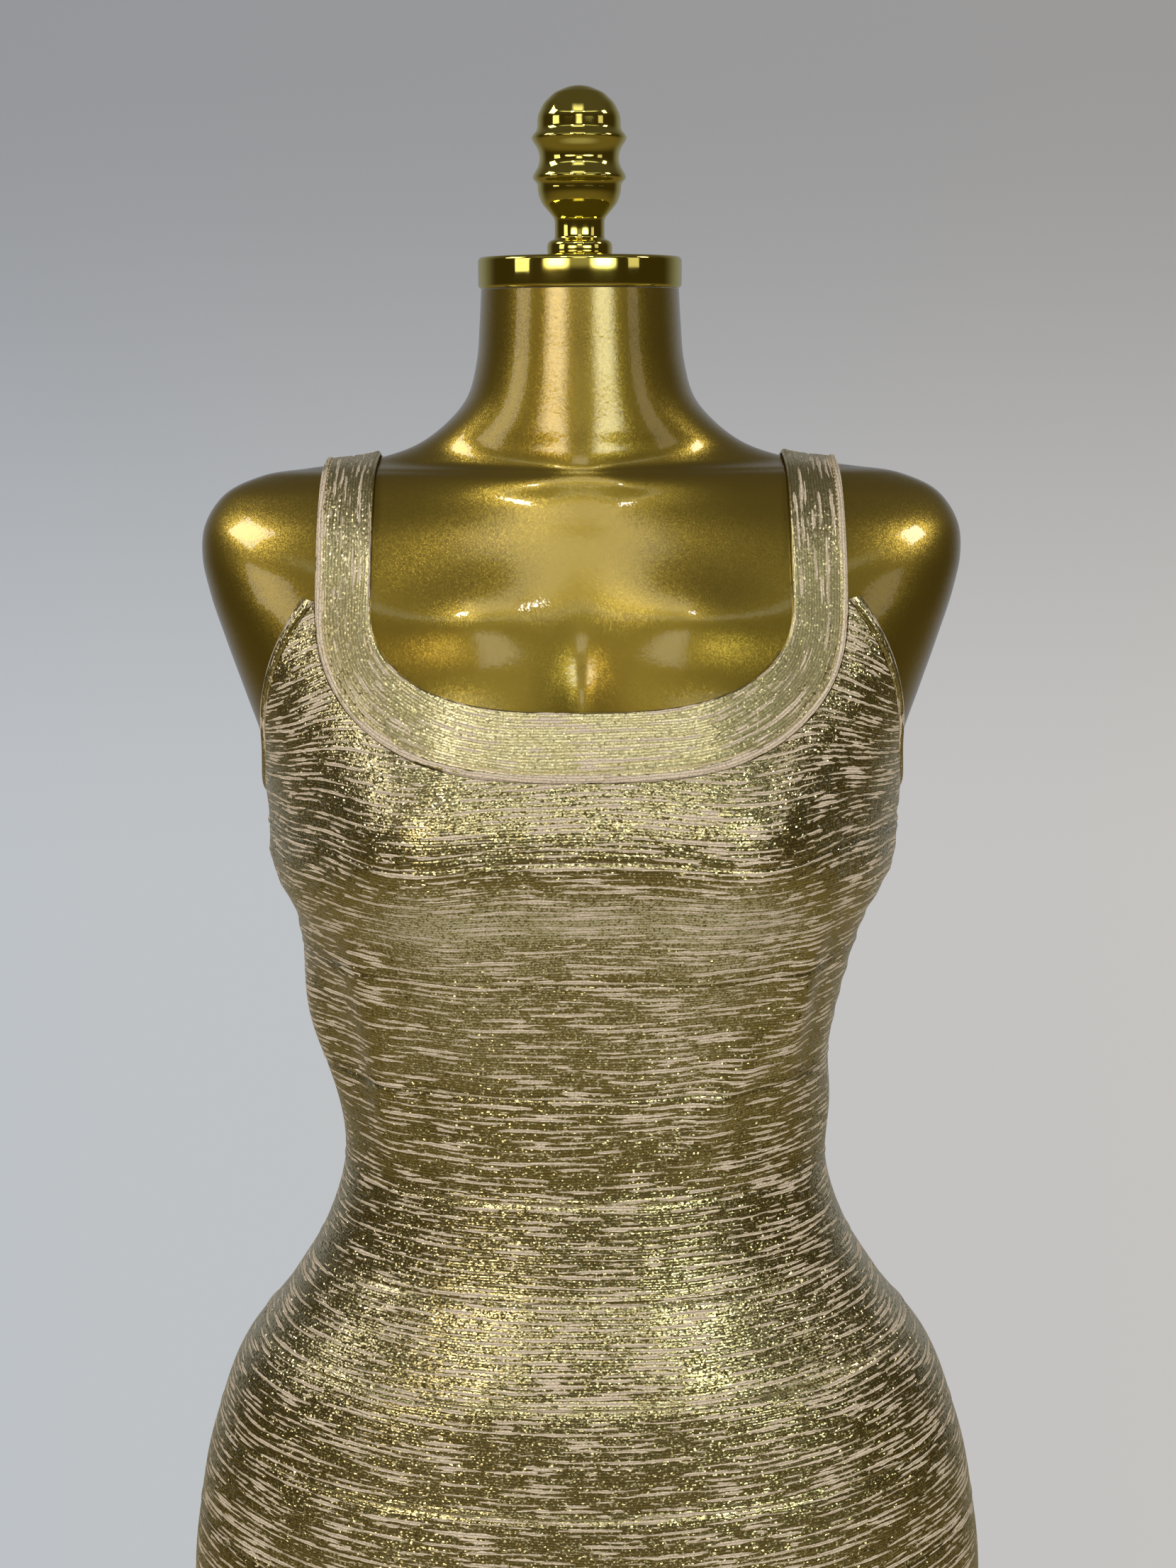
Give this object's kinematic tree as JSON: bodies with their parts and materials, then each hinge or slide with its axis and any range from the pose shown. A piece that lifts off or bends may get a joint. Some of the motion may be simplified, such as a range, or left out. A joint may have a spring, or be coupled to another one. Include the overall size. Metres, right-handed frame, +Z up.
{
  "type": "bodycon dress on dress form",
  "caption": "Sleeveless bandage-knit bodycon mini dress with a wide scoop neck, worn by a limbless lacquered dress form with a turned knob, pole and round foot.",
  "frame": {"origin": "centre of the round foot's underside, on the floor", "axes": "+Z up, the front of the dress faces -Y, +X is to the right of the picture"},
  "size_m": [0.4288, 0.35, 1.5536],
  "materials": {
    "foil_knit": "beige bandage knit with streaks of gold foil",
    "gold_lacquer": "glossy metallic gold lacquer",
    "gold_plating": "polished gold-coloured plating"
  },
  "bodies": {
    "root": {"neck_band_front": "foil_knit", "neck_band_back": "foil_knit", "armhole_binding_left": "foil_knit", "armhole_binding_right": "foil_knit", "bust_front": "foil_knit", "upper_back": "foil_knit", "front_strip_01": "foil_knit", "front_strip_02": "foil_knit", "front_strip_03": "foil_knit", "front_strip_04": "foil_knit", "front_strip_05": "foil_knit", "front_strip_06": "foil_knit", "front_strip_07": "foil_knit", "front_strip_08": "foil_knit", "front_strip_09": "foil_knit", "front_strip_10": "foil_knit", "front_strip_11": "foil_knit", "front_strip_12": "foil_knit", "back_strip_01": "foil_knit", "back_strip_02": "foil_knit", "back_strip_03": "foil_knit", "back_strip_04": "foil_knit", "back_strip_05": "foil_knit", "back_strip_06": "foil_knit", "back_strip_07": "foil_knit", "back_strip_08": "foil_knit", "back_strip_09": "foil_knit", "back_strip_10": "foil_knit", "back_strip_11": "foil_knit", "back_strip_12": "foil_knit", "form_body": "gold_lacquer", "neck_cap": "gold_plating", "finial": "gold_plating", "stand_pole": "gold_plating", "stand_base": "gold_plating"}
  },
  "joints": []
}
